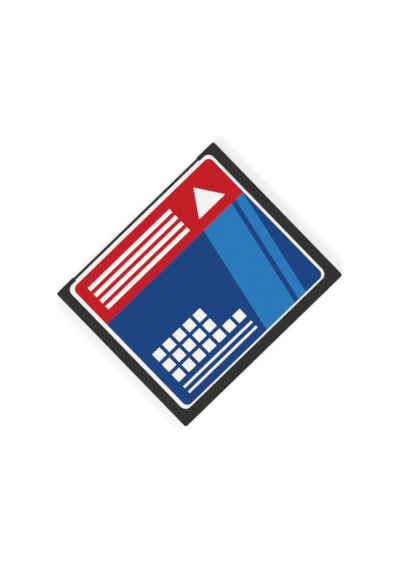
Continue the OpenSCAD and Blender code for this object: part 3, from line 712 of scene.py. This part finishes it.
cloth = add_node(tree, "ShaderNodeTexNoise", sockets={
    "Vector": place, "Scale": pattern_scale(CLOTH_GRAIN), "Detail": 3.0})
routed = add_node(tree, "ShaderNodeMix", {"data_type": "RGBA"},
                  {0: cloth.outputs["Fac"], 6: linear("#a79a5e"), 7: linear("#c4b87c")})
board_colour = add_node(tree, "ShaderNodeMix", {"data_type": "RGBA"},
                        {0: level.outputs["Value"], 6: routed.outputs[2], 7: masked.outputs[2]})
tree.links.new(board_colour.outputs[2], shader.inputs["Base Color"])
vary_roughness(tree, shader, cloth.outputs["Fac"], low=0.34, high=0.5)
raise_relief(tree, shader, weave.outputs["Value"], depth_mm=0.002)
dress(board_finish, "circuit_board")

# %% [markdown]
# ### Chips and leads
# Chips are transfer moulded in black epoxy full of fine silica, which gives a dull, slightly speckled
# face. Leads and the ends of the small parts are tin-plated. The three large chips have a dimple beside
# their first lead, and the small detector has none. A chip on the board's top looks up (1), one
# underneath looks down (-1).

# %% Chips
DIMPLE_INSET = 1.2
CHIP_LOOKS = {"left_memory_chip": 1, "right_memory_chip": 1, "controller_chip": -1, "voltage_detector": -1}

chip_epoxy = moulded_plastic("black_epoxy_transfer_moulded", "#1b1b1c", "#2a2a2b",
                             grain_mm=0.10, depth_mm=0.006, smooth=0.55, rough=0.7, ior=1.55)
for chip, looks in CHIP_LOOKS.items():
    low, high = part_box(chip)
    corner = (low.x + DIMPLE_INSET * MM, high.y - DIMPLE_INSET * MM)
    softened_copy(chip, "moulded_" + chip, radius_mm=0.03, steps=2, face_finish=chip_epoxy,
                  edge_finish=chip_epoxy, dimple=None if chip == "voltage_detector" else (corner, looks))

# %% Leads and metal ends
matt_tin = worked_metal("copper_alloy_matt_tin_plated", "#b0b0ae", "#cdcdcb", smooth=0.36, rough=0.52,
                        line_mm=0.06, stretch=4, depth_mm=0.001, along="Y")
dress(matt_tin, "left_memory_leads", "right_memory_leads", "controller_leads", "voltage_detector_leads",
      "capacitor_ends", "resistor_ends", "resistor_array_ends")

# %% [markdown]
# ### Solder
# Every lead, contact tail and metal end stands on a copper land, and reflowed solder climbs round it in
# a hollow curve. Each joint is made from the box of its foot: the points of that loose piece that touch
# the board. Rings of eight points rise from the board round the foot, each one narrower than the last,
# so the sides are hollow. On a metal end no solder goes under the ceramic body beside it, so that
# side's spread is zero.

# %% Feet on the board
TOUCH = 0.01 * MM


def loose_pieces(node):
    """The points of each separate piece in a node's mesh, as lists of vectors."""
    work = bmesh.new()
    work.from_mesh(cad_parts[node].data)
    bmesh.ops.remove_doubles(work, verts=work.verts, dist=MERGE_WITHIN)
    found, left = [], set(work.verts)
    while left:
        reached, edge_of = set(), {left.pop()}
        while edge_of:
            reached |= edge_of
            edge_of = {edge.other_vert(v) for v in edge_of for edge in v.link_edges} - reached
        left -= reached
        found.append([v.co.copy() for v in reached])
    work.free()
    return sorted(found, key=lambda piece: min(tuple(p) for p in piece))


def foot_box(points, board_z):
    """The rectangle in which a piece stands on the board at board_z: x0, y0, x1, y1, or None."""
    standing = [p for p in points if abs(p.z - board_z) < TOUCH]
    if not standing:
        return None
    xs, ys = [p.x for p in standing], [p.y for p in standing]
    return min(xs), min(ys), max(xs), max(ys)


# %% The shape of a joint
SOLDER_TOE = 0.13
SOLDER_SIDE = 0.06
SOLDER_RISE = 0.09
SOLDER_STEPS = 3
SOLDER_SIDES = 8
LEAST_CUT = 0.2


def closed_rings(faces, first, sides, rings, up):
    """Joins rings of points into a closed skin: the sides, and a cap on the first and the last ring."""
    for start in range(first, first + (rings - 1) * sides, sides):
        for i in range(sides):
            a, b = start + i, start + (i + 1) % sides
            faces.append((a, b, b + sides, a + sides)[::up])
    faces.append(tuple(range(first + sides - 1, first - 1, -1))[::up])
    last = first + (rings - 1) * sides
    faces.append(tuple(range(last, last + sides))[::up])


def spreads_of(foot, body_middles):
    """How far the solder reaches past each side of a foot, in metres: -x, -y, +x and +y."""
    long_x = foot[2] - foot[0] > foot[3] - foot[1]
    toe, side = SOLDER_TOE * MM, SOLDER_SIDE * MM
    spreads = [toe, side, toe, side] if long_x else [side, toe, side, toe]
    if body_middles:
        middle = Vector(((foot[0] + foot[2]) / 2, (foot[1] + foot[3]) / 2))
        nearest = min(body_middles, key=lambda body: (body - middle).length)
        away = nearest - middle
        short_axis = 1 if long_x else 0
        spreads = [toe] * 4
        spreads[short_axis + (2 if away[short_axis] > 0 else 0)] = 0.0
    return spreads


def solder_mound(points, faces, foot, spreads, board_z, up):
    """Adds the rings and faces of one joint to points and faces."""
    first = len(points)
    for step in range(SOLDER_STEPS + 1):
        share = (1 - step / SOLDER_STEPS) ** 2
        x0, y0 = foot[0] - spreads[0] * share, foot[1] - spreads[1] * share
        x1, y1 = foot[2] + spreads[2] * share, foot[3] + spreads[3] * share
        cut = SOLDER_SIDE * MM * max(share, LEAST_CUT)
        z = board_z + up * SOLDER_RISE * MM * step / SOLDER_STEPS
        points += [(x0 + cut, y0, z), (x1 - cut, y0, z), (x1, y0 + cut, z), (x1, y1 - cut, z),
                   (x1 - cut, y1, z), (x0 + cut, y1, z), (x0, y1 - cut, z), (x0, y0 + cut, z)]
    closed_rings(faces, first, SOLDER_SIDES, SOLDER_STEPS + 1, up)


# %% Solder joints
board_low, board_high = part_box("circuit_board")
bodies_of = {"capacitor_ends": "capacitor_bodies", "resistor_ends": "resistor_bodies",
             "resistor_array_ends": "resistor_array_bodies"}
points, faces, joints = [], [], []
for node in ("left_memory_leads", "right_memory_leads", "controller_leads", "voltage_detector_leads",
             "upper_contacts", "lower_contacts", *bodies_of):
    middles = [sum((p.xy for p in piece), Vector((0, 0))) / len(piece)
               for piece in (loose_pieces(bodies_of[node]) if node in bodies_of else [])]
    for piece in loose_pieces(node):
        for board_z, up in ((board_high.z, 1), (board_low.z, -1)):
            foot = foot_box(piece, board_z)
            if foot:
                solder_mound(points, faces, foot, spreads_of(foot, middles), board_z, up)
                joints.append((node, foot, up, sum((p.xy for p in piece), Vector((0, 0))) / len(piece)))
    print(node, "joints:", sum(joint[0] == node for joint in joints))

solder_finish = worked_metal("solder_reflowed", "#a8aaab", "#c4c6c7", smooth=0.16, rough=0.28,
                             line_mm=0.15, stretch=1, depth_mm=0.001)
solder_mesh = bpy.data.meshes.new("solder_joints")
solder_mesh.from_pydata(points, [], faces)
solder_mesh.materials.append(solder_finish)
solder_joints = bpy.data.objects.new("solder_joints", solder_mesh)
scene.collection.objects.link(solder_joints)
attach(solder_joints, "root")
print("solder faces:", len(solder_mesh.polygons))

# %% [markdown]
# ### Copper tracks
# A track leaves every lead and contact tail straight out from its toe and ends at a via, a plated hole
# that the mask closes to a shallow dimple. Neighbouring tracks end a step apart, so that their vias
# have room. Each takes the longest of a few lengths that stays clear of all joints, small parts,
# earlier tracks and the board's edge. A lead's place in its row, in pitches, says whether its track is
# the shorter one. A quarter is added to it, so that rounding down never decides by a hair. The copper
# is a few hundredths of a millimetre high, and mask over copper is a lighter green.

# %% Where a track fits
TRACK_WIDE = 0.12
TRACK_LENGTHS = (2.0, 1.5, 1.0, 0.4)
VIA_RADIUS = 0.17
TRACK_ROOM = 0.08
EDGE_ROOM = 0.3


def box_round(x0, y0, x1, y1, reach):
    """The rectangle that holds both points, grown by reach."""
    return min(x0, x1) - reach, min(y0, y1) - reach, max(x0, x1) + reach, max(y0, y1) + reach


def overlap(a, b):
    """True where two rectangles overlap."""
    return a[0] < b[2] and b[0] < a[2] and a[1] < b[3] and b[1] < a[3]


def way_out(foot, middle):
    """The middle of a foot's outer end, and the direction away from the middle of its piece."""
    centre = Vector(((foot[0] + foot[2]) / 2, (foot[1] + foot[3]) / 2))
    half = Vector(((foot[2] - foot[0]) / 2, (foot[3] - foot[1]) / 2))
    away = Vector((1, 0)) if half.x > half.y else Vector((0, 1))
    if (centre - middle).dot(away) < 0:
        away = -away
    return centre + away * max(half), away


def track_for(toe, away, shorter, taken):
    """The end of the longest track that fits, or of the next shorter one, and its two rectangles."""
    fits = []
    for length in TRACK_LENGTHS:
        end = toe + away * length * MM
        start = toe + away * (SOLDER_TOE + TRACK_ROOM) * MM
        strip = box_round(*start, *end, TRACK_WIDE / 2 * MM)
        via = box_round(*end, *end, VIA_RADIUS * MM)
        on_board = (via[0] > board_low.x + EDGE_ROOM * MM and via[2] < board_high.x - EDGE_ROOM * MM
                    and via[1] > board_low.y + EDGE_ROOM * MM and via[3] < board_high.y - EDGE_ROOM * MM)
        if on_board and not any(overlap(strip, box) or overlap(via, box) for box in taken):
            fits.append((end, strip, via))
    return fits[min(shorter, len(fits) - 1)] if fits else None


# %% The shape of a track
TRACK_HIGH = 0.02
VIA_HIGH = 0.028
VIA_SIDES = 10
VIA_PROFILE = ((1.0, 0.0), (1.0, 1.0), (0.55, 1.0), (0.4, 0.3))
TRACK_STOP = 0.75


def add_track(points, faces, toe, end, away, board_z, up):
    """Adds a strip from the toe, and the via's disc at its end, to points and faces."""
    across = Vector((-away.y, away.x)) * TRACK_WIDE / 2 * MM
    stop = end - away * VIA_RADIUS * TRACK_STOP * MM
    first = len(points)
    for rise in (0, TRACK_HIGH):
        points += [(*p, board_z + up * rise * MM)
                   for p in (toe - across, stop - across, stop + across, toe + across)]
    closed_rings(faces, first, 4, 2, up)
    first = len(points)
    for reach, rise in VIA_PROFILE:
        points += circle(*end, VIA_RADIUS * reach * MM, board_z + up * VIA_HIGH * rise * MM, VIA_SIDES)
    closed_rings(faces, first, VIA_SIDES, len(VIA_PROFILE), up)


# %% Tracks and vias
LEAD_PITCH = 0.5
PITCH_OFFSET = 0.25
ETCH_GRAIN = 0.2

points, faces, tracks = [], [], 0
for up, board_z in ((1, board_high.z), (-1, board_low.z)):
    taken = [box_round(*foot, (SOLDER_TOE + TRACK_ROOM) * MM) for _, foot, side, _ in joints if side == up]
    for body in bodies_of.values():
        for piece in loose_pieces(body):
            if (piece[0].z > board_z) == (up == 1):
                xs, ys = [p.x for p in piece], [p.y for p in piece]
                taken.append(box_round(min(xs), min(ys), max(xs), max(ys), TRACK_ROOM * MM))
    for node, foot, side, middle in joints:
        if side != up or node in bodies_of:
            continue
        toe, away = way_out(foot, middle)
        own = box_round(*foot, (SOLDER_TOE + TRACK_ROOM) * MM)
        in_row = (toe.y if away.x else toe.x) / (LEAD_PITCH * MM)
        shorter = math.floor(in_row + PITCH_OFFSET) % 2
        found = track_for(toe, away, shorter, [box for box in taken if box != own])
        if not found:
            continue
        end, strip, via = found
        taken += [box_round(*strip, TRACK_ROOM * MM), box_round(*via, TRACK_ROOM * MM)]
        add_track(points, faces, toe, end, away, board_z, up)
        tracks += 1

track_finish, tree, shader, place = start_finish(
    "copper_etched_under_solder_mask", 0.35, 1.52, Coat_Weight=0.4, Coat_Roughness=0.2)
etched = add_node(tree, "ShaderNodeTexNoise", sockets={
    "Vector": place, "Scale": pattern_scale(ETCH_GRAIN), "Detail": 3.0})
vary_colour(tree, shader, etched.outputs["Fac"], "#257a4c", "#2f8a58")
vary_roughness(tree, shader, etched.outputs["Fac"], low=0.3, high=0.42)
raise_relief(tree, shader, etched.outputs["Fac"], depth_mm=0.001)
track_mesh = bpy.data.meshes.new("copper_tracks")
track_mesh.from_pydata(points, [], faces)
track_mesh.materials.append(track_finish)
copper_tracks = bpy.data.objects.new("copper_tracks", track_mesh)
scene.collection.objects.link(copper_tracks)
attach(copper_tracks, "root")
print("tracks:", tracks, "faces:", len(track_mesh.polygons))

# %% [markdown]
# ### Small parts and films
# The capacitors' bodies are fired tan ceramic, and the resistors' are covered with a dark printed
# glaze. Two thin sheets of amber polyimide, calendered smooth, keep the covers off the board. The
# covers are held down by rings of bonding film, a soft tan adhesive that was hot-pressed and has a
# fine, waxy grain. All of them are a fine grain in two near colours.

# %% Ceramic, glaze and films


def fine_grained(name, dark, light, grain_mm, depth_mm, smooth, rough, ior):
    """A fired, calendered or pressed surface: fine grains in two near colours, with a little relief."""
    made, tree, shader, place = start_finish(name, rough, ior)
    grain = add_node(tree, "ShaderNodeTexNoise", sockets={
        "Vector": place, "Scale": pattern_scale(grain_mm), "Detail": 4.0, "Roughness": 0.7})
    vary_colour(tree, shader, grain.outputs["Fac"], dark, light)
    vary_roughness(tree, shader, grain.outputs["Fac"], smooth, rough)
    raise_relief(tree, shader, grain.outputs["Fac"], depth_mm)
    return made


dress(fine_grained("barium_titanate_fired", "#9c7a54", "#b5946c",
                   grain_mm=0.09, depth_mm=0.002, smooth=0.4, rough=0.55, ior=1.9),
      "capacitor_bodies")
dress(fine_grained("dark_glass_glaze_printed", "#15181a", "#22282b",
                   grain_mm=0.14, depth_mm=0.002, smooth=0.14, rough=0.24, ior=1.52),
      "resistor_bodies", "resistor_array_bodies")
dress(fine_grained("amber_polyimide_film_calendered", "#b8742a", "#c98a3c",
                   grain_mm=1.2, depth_mm=0.001, smooth=0.2, rough=0.3, ior=1.7),
      "top_insulator", "bottom_insulator")
dress(fine_grained("tan_bonding_film_hot_pressed", "#a08a68", "#b39d7b",
                   grain_mm=0.25, depth_mm=0.004, smooth=0.45, rough=0.6, ior=1.48),
      "top_bonding_film", "bottom_bonding_film")

# %% [markdown]
# ## Finish
# The view settings keep colours as they are written.

# %% Close the scene
scene.view_settings.view_transform = "Standard"
